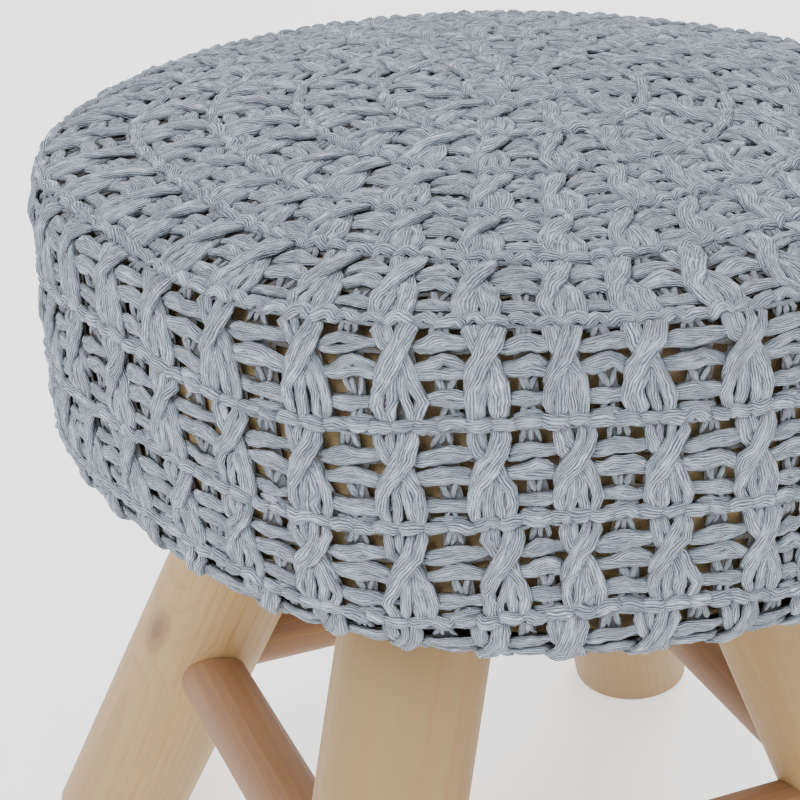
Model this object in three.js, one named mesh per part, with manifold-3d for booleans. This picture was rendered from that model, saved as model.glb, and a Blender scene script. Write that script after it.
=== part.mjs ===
// Round upholstered footstool: a filled pad in a tan casing under a chunky knitted cotton cover,
// carried by a board on four splayed round pine legs that four round rails join.
// Units are millimetres, +Z is up, the floor is z = 0 and the seat's axis is the Z axis.
// Angles are turned from the side that faces the viewer (-Y), positive towards +X.

import * as THREE from 'three';
import { mergeVertices } from 'three/addons/utils/BufferGeometryUtils.js';
import Module from 'manifold-3d';

const wasm = await Module();
wasm.setup();

// Driving dimensions
const SEAT_RADIUS = 180;
const RIM_HEIGHT = 361;
const CROWN = 19;
const RIM_RADIUS = 172.5;
const SHOULDER_DROP = 8.5;
const RIDGE_PITCH = 34;
const TOP_RIDGE_PITCH = 31;
const TOP_SPREAD = 4;
const CORNER_DROP = 21.6;
const CORNER_INSET = 17.5;
const LIP_RADIUS = 141;

// Knit: cells go round the side, each a cable of two wales beside one purl column
const SIDE_CELLS = 40;
const TOP_CELLS = [40, 33, 26, 18, 11];
const SIDE_BANDS = 3;
const FIRST_CABLE_ANGLE = -3.8;
const TWIST_PER_BAND = 0.6;
const COVER_THICKNESS = 5.5;
const GAP_DEPTH = 2.9;
const PURL_DEPTH = 1.8;
const CABLE_DEPTH = 0.3;
const CROSSING_RISE = 1.2;
const LIP_ROUNDING = 0.5;
const CLOTH_GAP = 0.7;
const SEAT_GAP = 0.3;

// Wood
const BOARD_RADIUS = 137;
const BOARD_THICKNESS = 16;
const LEG_RADIUS = 28.6;
const LEG_SPLAY = THREE.MathUtils.degToRad(25.1);
const LEG_AXIS_RADIUS = 86.8;
const LEG_AXIS_HEIGHT = 236.4;
const LEG_ANGLES = [-109.3, -19.3, 70.7, 160.7];
const FOOT_CHAMFER = 2;
const RAIL_RADIUS = 14.4;
const RAIL_HEIGHT = 98;
const WOOD_SIDES = 32;
const RAIL_SIDES = 20;
const COPE_REACH = 3 * RAIL_RADIUS;
const MERGE_TOLERANCE = 1e-4;

const yarn = { color: 0xa9b4bf, roughness: 0.95, metalness: 0 };
const casing = { color: 0x9b8a60, roughness: 0.9, metalness: 0 };
const pine = { color: 0xc9ad84, roughness: 0.6, metalness: 0 };
const railWood = { color: 0xb5835c, roughness: 0.6, metalness: 0 };

const stool = new THREE.Group();

// Adds a named piece to the stool.
function addPiece(name, geometry, finish) {
  const mesh = new THREE.Mesh(geometry, new THREE.MeshStandardMaterial(finish));
  mesh.name = name;
  stool.add(mesh);
  return mesh;
}

// Seat profile. A band number runs over the seat: 0 is the rim's ridge, 1 to 3 are the ridges
// down the side, negative numbers are the ridges on the top and the cover's lip is at LIP_BAND.
const CENTRE_BAND = -RIM_RADIUS / TOP_RIDGE_PITCH;
const CORNER_BAND = SIDE_BANDS + 0.85;
const LIP_BAND = 4.7;
const SHOULDER_BAND = 0.33;

// The top is a shallow dome whose first band is the widest. The shoulder is a quarter of an ellipse,
// and the side runs straight down from it to a rounded corner.
function profilePoint(band) {
  if (band <= 0) {
    const spread = TOP_SPREAD * Math.sin(Math.PI * Math.min(1, -band / 2));
    const r = RIM_RADIUS + band * TOP_RIDGE_PITCH - spread;
    return { r, z: CROWN * (1 - (r / RIM_RADIUS) ** 2) };
  }
  if (band <= SIDE_BANDS) {
    const turn = Math.min(1, band / SHOULDER_BAND) * Math.PI / 2;
    const below = THREE.MathUtils.clamp((band - SHOULDER_BAND) / (1 - SHOULDER_BAND), 0, 1);
    return {
      r: RIM_RADIUS + (SEAT_RADIUS - RIM_RADIUS) * Math.sin(turn),
      z: -SHOULDER_DROP * (1 - Math.cos(turn)) - (RIDGE_PITCH - SHOULDER_DROP) * below
        - RIDGE_PITCH * Math.max(0, band - 1),
    };
  }
  const turn = Math.min(1, (band - SIDE_BANDS) / (CORNER_BAND - SIDE_BANDS)) * Math.PI / 2;
  const cornerRadius = SEAT_RADIUS - CORNER_INSET * (1 - Math.cos(turn));
  const inward = Math.max(0, (band - CORNER_BAND) / (LIP_BAND - CORNER_BAND));
  return {
    r: THREE.MathUtils.lerp(cornerRadius, LIP_RADIUS, inward),
    z: -SIDE_BANDS * RIDGE_PITCH - CORNER_DROP * Math.sin(turn),
  };
}

function profileNormal(band) {
  const step = 0.02;
  const before = profilePoint(Math.max(CENTRE_BAND, band - step));
  const after = profilePoint(band + step);
  const dr = after.r - before.r;
  const dz = after.z - before.z;
  const length = Math.hypot(dr, dz);
  return { r: -dz / length, z: dr / length };
}

// The hand-made cover is uneven: its ridges wave a little, its lower left edge is drawn in, and its
// lower edge leans down to the right.
const WAVES = [
  { height: 2.3, turns: 5, phase: 2.9, perBand: 0.1 },
  { height: 2.2, turns: 7, phase: 5.4, perBand: -0.65 },
];
const DRAWN_IN = { depth: 6.9, angle: -48.7, width: 21.4, fromBand: 1.6, toBand: 3.6 };
const LOW_LEAN = { drop: 5.7, angle: -1.4, fromBand: 2 };

function bandWave(angle, band) {
  const fade = THREE.MathUtils.smoothstep(band, CENTRE_BAND, 0);
  const end = 1 - THREE.MathUtils.smoothstep(band, SIDE_BANDS, LIP_BAND);
  const wave = WAVES.reduce((sum, w) => (
    sum + w.height * Math.sin(w.turns * angle + w.phase + w.perBand * band)), 0);
  return wave * fade * end / RIDGE_PITCH;
}

function drawnIn(angle, band) {
  let away = THREE.MathUtils.radToDeg(angle) - DRAWN_IN.angle;
  away -= 360 * Math.round(away / 360);
  const across = Math.exp(-((away / DRAWN_IN.width) ** 2));
  const start = THREE.MathUtils.smoothstep(band, DRAWN_IN.fromBand, DRAWN_IN.toBand);
  const end = 1 - THREE.MathUtils.smoothstep(band, CORNER_BAND, LIP_BAND);
  return DRAWN_IN.depth * across * start * end;
}

function lowLean(angle, band) {
  const start = THREE.MathUtils.smoothstep(band, LOW_LEAN.fromBand, CORNER_BAND);
  const end = 1 - THREE.MathUtils.smoothstep(band, CORNER_BAND, LIP_BAND);
  return LOW_LEAN.drop * Math.sin(angle - THREE.MathUtils.degToRad(LOW_LEAN.angle)) * start * end;
}

// A point of the seat at an angle and band, lifted from the profile along its normal.
function seatPoint(angle, band, lift) {
  const at = THREE.MathUtils.clamp(band + bandWave(angle, band), CENTRE_BAND, LIP_BAND);
  const p = profilePoint(at);
  const n = profileNormal(at);
  const r = Math.max(0, p.r + n.r * lift - drawnIn(angle, at));
  const z = RIM_HEIGHT + p.z + n.z * lift - lowLean(angle, at);
  return new THREE.Vector3(r * Math.sin(angle), -r * Math.cos(angle), z);
}

// A closed skin of rings of vertices round the Z axis, joined by strips of triangles.
class Skin {
  constructor() {
    this.points = [];
    this.faces = [];
  }

  add(point) {
    this.points.push(point.x, point.y, point.z);
    return this.points.length / 3 - 1;
  }

  ring(angles, place) {
    return { angles, at: angles.map((angle, i) => this.add(place(angle, i))) };
  }

  face(a, b, c, turned = false) {
    this.faces.push(...(turned ? [a, c, b] : [a, b, c]));
  }

  // Joins an upper ring to a lower one. The same count gives four-sided cells, and open(i) leaves one out.
  join(upper, lower, turned = false, open = () => false) {
    const n = upper.at.length;
    const m = lower.at.length;
    if (n === m) {
      for (let i = 0; i < n; i += 1) {
        const j = (i + 1) % n;
        if (!open(i)) {
          this.face(upper.at[i], lower.at[i], lower.at[j], turned);
          this.face(upper.at[i], lower.at[j], upper.at[j], turned);
        }
      }
      return;
    }
    let i = 0;
    let j = 0;
    while (i < n || j < m) {
      const nextUpper = i < n ? upper.angles[(i + 1) % n] + (i + 1 >= n ? 2 * Math.PI : 0) : Infinity;
      const nextLower = j < m ? lower.angles[(j + 1) % m] + (j + 1 >= m ? 2 * Math.PI : 0) : Infinity;
      if (nextUpper <= nextLower) {
        this.face(upper.at[i % n], lower.at[j % m], upper.at[(i + 1) % n], turned);
        i += 1;
      } else {
        this.face(upper.at[i % n], lower.at[j % m], lower.at[(j + 1) % m], turned);
        j += 1;
      }
    }
  }

  cap(ring, point, turned = false) {
    const tip = this.add(point);
    ring.at.forEach((corner, i) => {
      this.face(tip, corner, ring.at[(i + 1) % ring.at.length], turned);
    });
  }

  geometry() {
    const geometry = new THREE.BufferGeometry();
    geometry.setAttribute('position', new THREE.Float32BufferAttribute(this.points, 3));
    geometry.setIndex(this.faces);
    return geometry;
  }
}

// Knitted cover. Column lines of one cell, as shares of the cell's width from the cable's middle,
// with the surface's lift between ridges and at the cable's crossing.
const CELL_COLUMNS = [
  { share: -0.21, low: -CABLE_DEPTH, crossing: CROSSING_RISE },
  { share: 0.21, low: -CABLE_DEPTH, crossing: -CABLE_DEPTH },
  { share: 0.38, low: -GAP_DEPTH, crossing: -PURL_DEPTH },
  { share: 0.62, low: -GAP_DEPTH, crossing: -PURL_DEPTH },
];
const OPEN_COLUMNS = [1, 3];
// Rows of one band, as shares of the band below its ridge.
const BAND_ROWS = [
  { share: 0, kind: 'ridge' },
  { share: 0.15, kind: 'low' },
  { share: 0.38, kind: 'crossing' },
  { share: 0.57, kind: 'crossing' },
  { share: 0.86, kind: 'low' },
];
const GAP_ROWS = { top: 2, bottom: 3 };
// Rows between two ridges of the top, and rows of the turned-under edge below the last ridge.
const TOP_ROWS = [0.3, 0.7, 1];
const LOW_ROWS = [
  { band: SIDE_BANDS + 0.2, lift: -PURL_DEPTH },
  { band: SIDE_BANDS + 0.5, lift: 0 },
  { band: CORNER_BAND, lift: 0 },
  { band: LIP_BAND, lift: -LIP_ROUNDING },
];
// Bands of the cover's inner rings, which the pad shares: above the rim, beside the gaps and below them.
const INNER_TOP = [-4.7, -3.4, -2, -0.8];
const INNER_SIDE = [0];
for (let b = 0; b < SIDE_BANDS; b += 1) {
  INNER_SIDE.push(b + BAND_ROWS[GAP_ROWS.top].share, b + BAND_ROWS[GAP_ROWS.bottom].share);
}
INNER_SIDE.push(LOW_ROWS[0].band);
const INNER_LOW = LOW_ROWS.slice(1).map((row) => row.band);

function sideAngles(band) {
  const cell = 360 / SIDE_CELLS;
  const start = FIRST_CABLE_ANGLE + TWIST_PER_BAND * band;
  const angles = [];
  for (let k = 0; k < SIDE_CELLS; k += 1) {
    CELL_COLUMNS.forEach((column) => {
      angles.push(THREE.MathUtils.degToRad(start + cell * (k + column.share)));
    });
  }
  return angles;
}

// Evenly spread angles that start at the side's first column line, so that strips join without a twist.
function evenAngles(count, band) {
  const start = FIRST_CABLE_ANGLE + TWIST_PER_BAND * band + 360 / SIDE_CELLS * CELL_COLUMNS[0].share;
  return Array.from({ length: count }, (_, i) => THREE.MathUtils.degToRad(start + 360 * i / count));
}

function coverGeometry() {
  const skin = new Skin();
  const columns = CELL_COLUMNS.length;
  const isOpen = (i) => OPEN_COLUMNS.includes(i % columns);

  // Outer face of the side
  const outer = [];
  for (let b = 0; b < SIDE_BANDS; b += 1) {
    BAND_ROWS.forEach((row) => {
      const band = b + row.share;
      const lift = (i) => (row.kind === 'ridge' ? 0 : CELL_COLUMNS[i % columns][row.kind]);
      outer.push(skin.ring(sideAngles(band), (angle, i) => seatPoint(angle, band, lift(i))));
    });
  }
  outer.push(skin.ring(sideAngles(SIDE_BANDS), (angle) => seatPoint(angle, SIDE_BANDS, 0)));
  const openRows = Array.from({ length: SIDE_BANDS }, (_, b) => b * BAND_ROWS.length + GAP_ROWS.top);
  for (let i = 0; i + 1 < outer.length; i += 1) {
    skin.join(outer[i], outer[i + 1], false, openRows.includes(i) ? isOpen : undefined);
  }

  // Outer face of the top: two columns a cable, fewer cables at each ridge towards the middle
  let above = outer[0];
  TOP_CELLS.forEach((cells, b) => {
    TOP_ROWS.forEach((share) => {
      const band = -b - share;
      const lift = (i) => (share === 1 || i % 2 === 0 ? 0 : -PURL_DEPTH);
      const ring = skin.ring(evenAngles(2 * cells, band), (angle, i) => seatPoint(angle, band, lift(i)));
      skin.join(ring, above);
      above = ring;
    });
  });
  skin.cap(above, seatPoint(0, CENTRE_BAND, 0));

  // Outer face below the last ridge, turned under to the lip
  let below = outer[outer.length - 1];
  LOW_ROWS.forEach(({ band, lift }) => {
    const ring = skin.ring(evenAngles(2 * SIDE_CELLS, band), (angle) => seatPoint(angle, band, lift));
    skin.join(below, ring);
    below = ring;
  });
  const lip = below;

  // Inner face: rings where the gaps need them, and few elsewhere
  const inside = (angle, band) => seatPoint(angle, band, -COVER_THICKNESS);
  const inner = INNER_SIDE.map((band) => (
    skin.ring(sideAngles(band), (angle) => inside(angle, band))));
  for (let i = 0; i + 1 < inner.length; i += 1) {
    skin.join(inner[i], inner[i + 1], true, i % 2 === 1 ? isOpen : undefined);
  }
  let innerAbove = inner[0];
  [...INNER_TOP].reverse().forEach((band) => {
    const ring = skin.ring(evenAngles(SIDE_CELLS, band), (angle) => inside(angle, band));
    skin.join(ring, innerAbove, true);
    innerAbove = ring;
  });
  skin.cap(innerAbove, inside(0, CENTRE_BAND), true);
  let innerBelow = inner[inner.length - 1];
  INNER_LOW.forEach((band) => {
    const ring = skin.ring(evenAngles(SIDE_CELLS, band), (angle) => inside(angle, band));
    skin.join(innerBelow, ring, true);
    innerBelow = ring;
  });
  skin.join(lip, innerBelow);

  // Walls of the open gaps beside each crossing
  for (let b = 0; b < SIDE_BANDS; b += 1) {
    const out = [outer[openRows[b]], outer[openRows[b] + 1]];
    const ins = [inner[1 + 2 * b], inner[2 + 2 * b]];
    const count = out[0].at.length;
    for (let i = 0; i < count; i += 1) {
      const j = (i + 1) % count;
      if (isOpen(i)) {
        const front = [out[0].at[i], out[1].at[i], out[1].at[j], out[0].at[j]];
        const back = [ins[0].at[i], ins[1].at[i], ins[1].at[j], ins[0].at[j]];
        front.forEach((corner, k) => {
          const next = (k + 1) % 4;
          skin.face(corner, front[next], back[next]);
          skin.face(corner, back[next], back[k]);
        });
      }
    }
  }
  return skin.geometry();
}

// Filled pad in its casing: it fills the cover and is flat inside the lip, where the board carries it.
const PAD_BANDS = [...INNER_TOP, ...INNER_SIDE, ...INNER_LOW];
const PAD_INSET = COVER_THICKNESS + CLOTH_GAP;

function padGeometry() {
  const skin = new Skin();
  const rings = PAD_BANDS.map((band) => {
    const count = INNER_SIDE.includes(band) ? 2 * SIDE_CELLS : SIDE_CELLS;
    return skin.ring(evenAngles(count, band), (angle) => seatPoint(angle, band, -PAD_INSET));
  });
  rings.slice(1).forEach((ring, i) => skin.join(rings[i], ring));
  skin.cap(rings[0], seatPoint(0, CENTRE_BAND, -PAD_INSET));
  skin.cap(rings[rings.length - 1], new THREE.Vector3(0, 0, PAD_BOTTOM), true);
  return skin.geometry();
}

const SEAT_BOTTOM = RIM_HEIGHT - SIDE_BANDS * RIDGE_PITCH - CORNER_DROP;
const PAD_BOTTOM = SEAT_BOTTOM + PAD_INSET;
const BOARD_TOP = PAD_BOTTOM - SEAT_GAP;
const BOARD_BOTTOM = BOARD_TOP - BOARD_THICKNESS;
const LEG_TOP = BOARD_BOTTOM - SEAT_GAP;

// Axis of a leg at a height: it leans outwards in its own upright plane.
function legAxis(angle, height) {
  const r = LEG_AXIS_RADIUS + Math.tan(LEG_SPLAY) * (LEG_AXIS_HEIGHT - height);
  return new THREE.Vector3(r * Math.sin(angle), -r * Math.cos(angle), height);
}

// A round pole cut level at both ends, so that each level ring is an ellipse along the lean.
function legGeometry(angle, radius, top, foot, chamfer) {
  const skin = new Skin();
  const rings = [
    { height: top, radius },
    { height: foot + chamfer, radius },
    { height: foot, radius: radius - chamfer },
  ].filter((row, i) => chamfer > 0 || i < 2);
  const angles = Array.from({ length: WOOD_SIDES }, (_, i) => 2 * Math.PI * i / WOOD_SIDES);
  const along = new THREE.Vector3(Math.sin(angle), -Math.cos(angle), 0);
  const across = new THREE.Vector3(Math.cos(angle), Math.sin(angle), 0);
  const made = rings.map((row) => skin.ring(angles, (turn) => (
    legAxis(angle, row.height)
      .addScaledVector(across, row.radius * Math.sin(turn))
      .addScaledVector(along, row.radius * Math.cos(turn) / Math.cos(LEG_SPLAY)))));
  made.slice(1).forEach((ring, i) => skin.join(made[i], ring));
  skin.cap(made[0], legAxis(angle, top));
  skin.cap(made[made.length - 1], legAxis(angle, foot), true);
  return skin.geometry();
}

function toManifold(geometry) {
  const bare = geometry.clone();
  bare.deleteAttribute('normal');
  bare.deleteAttribute('uv');
  const merged = mergeVertices(bare, MERGE_TOLERANCE);
  return new wasm.Manifold(new wasm.Mesh({
    numProp: 3,
    vertProperties: new Float32Array(merged.attributes.position.array),
    triVerts: new Uint32Array(merged.index.array),
  }));
}

function fromManifold(solid) {
  const mesh = solid.getMesh();
  const geometry = new THREE.BufferGeometry();
  geometry.setAttribute('position', new THREE.BufferAttribute(new Float32Array(mesh.vertProperties), 3));
  geometry.setIndex(new THREE.BufferAttribute(new Uint32Array(mesh.triVerts), 1));
  return geometry;
}

// A rail between the axes of two neighbouring legs, coped to sit against both poles.
function railGeometry(angleA, angleB) {
  const from = legAxis(angleA, RAIL_HEIGHT);
  const to = legAxis(angleB, RAIL_HEIGHT);
  const length = from.distanceTo(to);
  const bar = new THREE.CylinderGeometry(RAIL_RADIUS, RAIL_RADIUS, length, RAIL_SIDES);
  const turn = new THREE.Quaternion().setFromUnitVectors(
    new THREE.Vector3(0, 1, 0), to.clone().sub(from).normalize());
  const place = new THREE.Matrix4().compose(
    from.clone().lerp(to, 0.5), turn, new THREE.Vector3(1, 1, 1));
  bar.applyMatrix4(place);
  return fromManifold([angleA, angleB].reduce((solid, angle) => (
    solid.subtract(toManifold(legGeometry(
      angle, LEG_RADIUS + SEAT_GAP, RAIL_HEIGHT + COPE_REACH, RAIL_HEIGHT - COPE_REACH, 0)))
  ), toManifold(bar)));
}

addPiece('knit_cover', coverGeometry(), yarn);
addPiece('seat_pad', padGeometry(), casing);

const board = new THREE.CylinderGeometry(BOARD_RADIUS, BOARD_RADIUS, BOARD_THICKNESS, 2 * WOOD_SIDES);
board.rotateX(Math.PI / 2);
addPiece('seat_board', board, pine).position.z = BOARD_BOTTOM + BOARD_THICKNESS / 2;

LEG_ANGLES.forEach((degrees, i) => {
  const angle = THREE.MathUtils.degToRad(degrees);
  addPiece(`leg_${i + 1}`, legGeometry(angle, LEG_RADIUS, LEG_TOP, 0, FOOT_CHAMFER), pine);
  const next = THREE.MathUtils.degToRad(LEG_ANGLES[(i + 1) % LEG_ANGLES.length]);
  addPiece(`rail_${i + 1}`, railGeometry(angle, next), railWood);
});

export default stool;
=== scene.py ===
# Round footstool: a filled pad in a tan casing under an open cable-knit cotton cover, carried by a
# board on four splayed round pine legs that four rails join. Lengths are metres unless a name or
# comment says millimetres. Angles turn from the side that faces the viewer (-Y) towards +X.

import math

import bpy
import numpy as np
from mathutils import Matrix, Quaternion, Vector


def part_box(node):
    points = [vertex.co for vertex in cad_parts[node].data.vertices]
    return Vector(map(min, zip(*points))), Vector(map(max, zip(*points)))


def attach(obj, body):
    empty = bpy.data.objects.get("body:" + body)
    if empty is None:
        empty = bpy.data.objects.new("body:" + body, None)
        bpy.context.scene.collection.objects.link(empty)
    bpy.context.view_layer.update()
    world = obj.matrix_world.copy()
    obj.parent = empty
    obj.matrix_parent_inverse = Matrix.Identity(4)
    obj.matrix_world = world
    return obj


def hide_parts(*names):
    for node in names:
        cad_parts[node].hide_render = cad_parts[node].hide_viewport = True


bl_info = {
    "name": "Knitted footstool",
    "version": (1, 0, 0),
    "blender": (4, 5, 0),
    "location": "View3D > Sidebar > Footstool",
    "description": "Builds a round footstool with a cable-knit cover on splayed pine legs",
    "category": "Add Mesh",
}

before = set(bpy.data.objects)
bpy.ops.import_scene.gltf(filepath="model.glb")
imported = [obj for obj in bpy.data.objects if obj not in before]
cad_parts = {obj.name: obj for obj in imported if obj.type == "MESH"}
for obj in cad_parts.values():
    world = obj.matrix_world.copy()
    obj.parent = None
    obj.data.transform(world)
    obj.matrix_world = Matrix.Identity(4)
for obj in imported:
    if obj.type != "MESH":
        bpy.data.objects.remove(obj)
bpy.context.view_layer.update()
BODY = "root"
MM = 0.001

# The seat's form, as the frame's own solids have it
BOARD_LOW, BOARD_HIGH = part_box("seat_board")
LEG_NAMES = ("leg_1", "leg_2", "leg_3", "leg_4")
RAIL_NAMES = ("rail_1", "rail_2", "rail_3", "rail_4")
LEG_ANGLES = (-109.3, -19.3, 70.7, 160.7)
LEG_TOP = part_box("leg_1")[1].z
LEG_SIDES = 96
RAIL_SIDES = 64
BOARD_SIDES = 128
RIM_RADIUS_SHARE = 172.5 / 180
SIDE_BANDS = 3
CORNER_BAND = SIDE_BANDS + 0.85
LIP_BAND = 4.7
SHOULDER_BAND = 0.33
SHOULDER_DROP = 8.5 * MM
TOP_SPREAD = 4 * MM
CORNER_DROP = 21.6 * MM
CORNER_INSET = 17.5 * MM
LIP_RADIUS = 141 * MM
PAD_INSET = 6.2 * MM
SEAT_GAP = 0.3 * MM
CLOTH_LIFT = -4.3 * MM
CASING_LIFT = -4.9 * MM

# The hand-made cover is uneven: its ridges wave a little, its lower left edge is drawn in and its
# lower edge leans down to the right
WAVES = (
    {"height": 2.3 * MM, "turns": 5, "phase": 2.9, "per_band": 0.1},
    {"height": 2.2 * MM, "turns": 7, "phase": 5.4, "per_band": -0.65},
)
DRAWN_IN = {"depth": 6.9 * MM, "angle": -48.7, "width": 21.4, "from_band": 1.6, "to_band": 3.6}
LOW_LEAN = {"drop": 5.7 * MM, "angle": math.radians(-1.4), "from_band": 2}

# Rings of knit cells: cells in the ring, its upper ridge's band, how full its yarns lie and how far
# its gaps are closed
FIRST_CABLE_ANGLE = -3.8
TWIST_PER_BAND = 0.6
SIDE_CELLS = 40
TOP_RINGS = (
    {"cells": 40, "band": -1, "full": 1.06, "closed": 0.35},
    {"cells": 33, "band": -2, "full": 1.10, "closed": 0.5},
    {"cells": 26, "band": -3, "full": 1.10, "closed": 0.5},
    {"cells": 18, "band": -4, "full": 1.05, "closed": 0.5},
    {"cells": 11, "band": -5, "full": 1.05, "closed": 0.5},
)
# How far the cables on the viewer's side stand from their even places, as shares of a cell, and how
# far the others stray
CABLE_SHIFTS = {
    -1: {39: 0.03, 0: 0.02, 1: 0.06, 2: -0.15, 3: -0.09},
    0: {37: -0.07, 38: 0.09, 39: 0.16, 0: 0.13, 1: -0.04, 2: -0.17, 3: 0.02},
    1: {38: -0.01, 39: 0.11, 0: 0.13, 1: 0.03, 2: 0.06, 3: 0.17},
    2: {38: -0.04, 39: 0.13, 0: 0.23, 1: 0.05, 2: 0.10, 3: 0.30},
}
CABLE_STRAY = 0.07
RING_SEED = 500

# Yarns of one cell. u is the share of the cell's width from the cable's middle, v the share of the
# band below its upper ridge and lift the height over the seat's surface in millimetres. The width
# and thickness of a yarn are in millimetres too.
CABLE_YARNS = (
    {"width": 4.3, "thick": 2.6, "points": (
        (-0.20, 0.03, -3.4), (-0.20, 0.15, -2.2), (-0.14, 0.29, -2.2), (-0.03, 0.42, -2.9),
        (0.09, 0.53, -2.6), (0.18, 0.65, -1.8), (0.225, 0.79, -1.6), (0.20, 0.92, -2.2),
        (0.16, 1.0, -3.2))},
    {"width": 4.0, "thick": 2.4, "points": (
        (-0.075, 0.03, -3.4), (-0.09, 0.14, -2.3), (-0.05, 0.26, -2.7), (0.04, 0.38, -3.2),
        (0.12, 0.50, -2.7), (0.17, 0.60, -2.5), (0.20, 0.70, -3.2))},
    {"width": 4.6, "thick": 2.8, "points": (
        (0.17, 0.03, -3.4), (0.18, 0.15, -1.8), (0.11, 0.29, -0.9), (0.0, 0.43, -0.5),
        (-0.11, 0.56, -0.9), (-0.19, 0.69, -1.5), (-0.22, 0.82, -1.7), (-0.18, 0.93, -2.3),
        (-0.14, 1.0, -3.2))},
    {"width": 4.3, "thick": 2.7, "points": (
        (0.05, 0.03, -3.4), (0.07, 0.14, -2.0), (0.01, 0.27, -1.1), (-0.09, 0.40, -0.8),
        (-0.17, 0.52, -1.4), (-0.21, 0.63, -2.2), (-0.22, 0.73, -3.1))},
    {"width": 4.3, "thick": 2.6, "points": (
        (0.0, 0.50, -2.8), (-0.045, 0.61, -2.0), (-0.06, 0.75, -1.8), (-0.07, 0.88, -2.1),
        (-0.085, 1.0, -3.3))},
    {"width": 4.3, "thick": 2.6, "points": (
        (0.02, 0.50, -2.8), (0.05, 0.61, -2.0), (0.08, 0.75, -1.8), (0.09, 0.88, -2.1),
        (0.105, 1.0, -3.3))},
)
# Rungs of the purl column, each of two yarns that lie over one another, and the last one above the
# ridge of one yarn
PURL_YARNS = (
    {"width": 3.8, "thick": 2.4, "points": (
        (0.13, 0.34, -3.9), (0.26, 0.305, -2.8), (0.42, 0.262, -2.0), (0.57, 0.262, -1.9),
        (0.71, 0.285, -2.6), (0.87, 0.27, -3.9))},
    {"width": 3.7, "thick": 2.3, "points": (
        (0.13, 0.365, -3.9), (0.28, 0.36, -2.6), (0.44, 0.335, -2.4), (0.59, 0.32, -2.6),
        (0.73, 0.31, -2.8), (0.87, 0.30, -3.9))},
    {"width": 4.1, "thick": 2.4, "points": (
        (0.13, 0.535, -3.9), (0.28, 0.52, -2.8), (0.42, 0.468, -2.1), (0.56, 0.445, -2.1),
        (0.69, 0.49, -2.7), (0.87, 0.56, -3.9))},
    {"width": 3.9, "thick": 2.4, "points": (
        (0.13, 0.56, -3.9), (0.29, 0.555, -2.6), (0.45, 0.54, -2.3), (0.60, 0.53, -2.4),
        (0.74, 0.56, -2.7), (0.88, 0.58, -3.9))},
    {"width": 3.5, "thick": 2.3, "points": (
        (0.14, 0.80, -3.9), (0.30, 0.78, -2.8), (0.46, 0.762, -2.3), (0.60, 0.772, -2.4),
        (0.74, 0.79, -2.8), (0.88, 0.82, -3.9))},
    {"width": 3.5, "thick": 2.3, "points": (
        (0.14, 0.82, -3.9), (0.31, 0.815, -2.7), (0.47, 0.823, -2.3), (0.62, 0.828, -2.5),
        (0.75, 0.82, -2.8), (0.88, 0.83, -3.9))},
    {"width": 3.4, "thick": 2.2, "points": (
        (0.30, 0.975, -3.9), (0.42, 0.95, -2.7), (0.58, 0.945, -2.7), (0.72, 0.965, -3.9))},
)
# Splayed strands between the rungs: u of their upper and lower ends, then v of both, and the lift of
# the ends and of the middle
PURL_STRANDS = (
    (0.455, 0.375, 0.02, 0.23),
    (0.50, 0.47, 0.02, 0.21),
    (0.53, 0.585, 0.02, 0.22),
    (0.42, 0.50, 0.56, 0.73),
    (0.475, 0.52, 0.58, 0.74),
    (0.62, 0.55, 0.56, 0.74),
    (0.50, 0.46, 0.85, 0.95),
    (0.57, 0.60, 0.85, 0.95),
)
STRAND_LIFTS = (-3.5, -3.0)
STRAND_YARN = {"width": 2.3, "thick": 1.6, "steps": 3, "sides": 6}
# A stitch of the ridge, with u as the share of the stitch's length from its middle, and the thin
# line of yarn under the ridge
STITCH_LENGTH = 7.6 * MM
RIDGE_STITCH = (
    (-0.55, 0.030, -4.2), (-0.42, 0.014, -2.4), (-0.14, -0.006, -1.5), (0.14, -0.006, -1.5),
    (0.42, 0.014, -2.4), (0.55, 0.030, -4.2))
RIDGE_YARN = {"width": 5.2, "thick": 3.3, "steps": 6, "stray": 1.3}
THREAD_LINE = {"v": 0.072, "sway": 0.014, "lift": -2.9, "points": 9, "overlap": 0.03}
THREAD_YARN = {"width": 1.7, "thick": 1.6, "steps": 10, "sides": 6, "stray": 0.4}

# Lines of the thin cloth of stitch backs behind the yarns. Each row gives its v and the edges of
# the left and right gaps, and tells whether the gaps below it are open.
CLOTH_ROWS = (
    {"v": 0.0, "edges": (0.20, 0.38, 0.60, 0.78), "open": False},
    {"v": 0.085, "edges": (0.18, 0.365, 0.595, 0.765), "open": True},
    {"v": 0.275, "edges": (0.185, 0.355, 0.60, 0.76), "open": False},
    {"v": 0.395, "edges": (0.17, 0.36, 0.645, 0.84), "open": True},
    {"v": 0.495, "edges": (0.18, 0.35, 0.66, 0.82), "open": False},
    {"v": 0.585, "edges": (0.225, 0.42, 0.645, 0.765), "open": True},
    {"v": 0.735, "edges": (0.245, 0.41, 0.66, 0.76), "open": False},
    {"v": 0.845, "edges": (0.27, 0.45, 0.675, 0.79), "open": True},
    {"v": 0.975, "edges": (0.28, 0.44, 0.68, 0.78), "open": False},
    {"v": 1.0, "edges": (0.20, 0.38, 0.60, 0.78), "open": False},
)
GAP_COLUMNS = (1, 3)
GAP_STRAY = 0.014

# Camera at the photo's viewpoint
CAMERA_PLACE = (0.0, -0.7155, 0.5990)
CAMERA_AIM = (-0.0444, 0.0021, 0.2481)
CAMERA_ROLL = math.radians(-1.0)
CAMERA_LENS = 89.8


def smoothstep(value, low, high):
    """0 below low, 1 above high, and a smooth rise between them."""
    t = np.clip((value - low) / (high - low), 0, 1)
    return t * t * (3 - 2 * t)


def length_property(name, description, default):
    return bpy.props.FloatProperty(name=name, description=description, default=default, unit="LENGTH")


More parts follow.
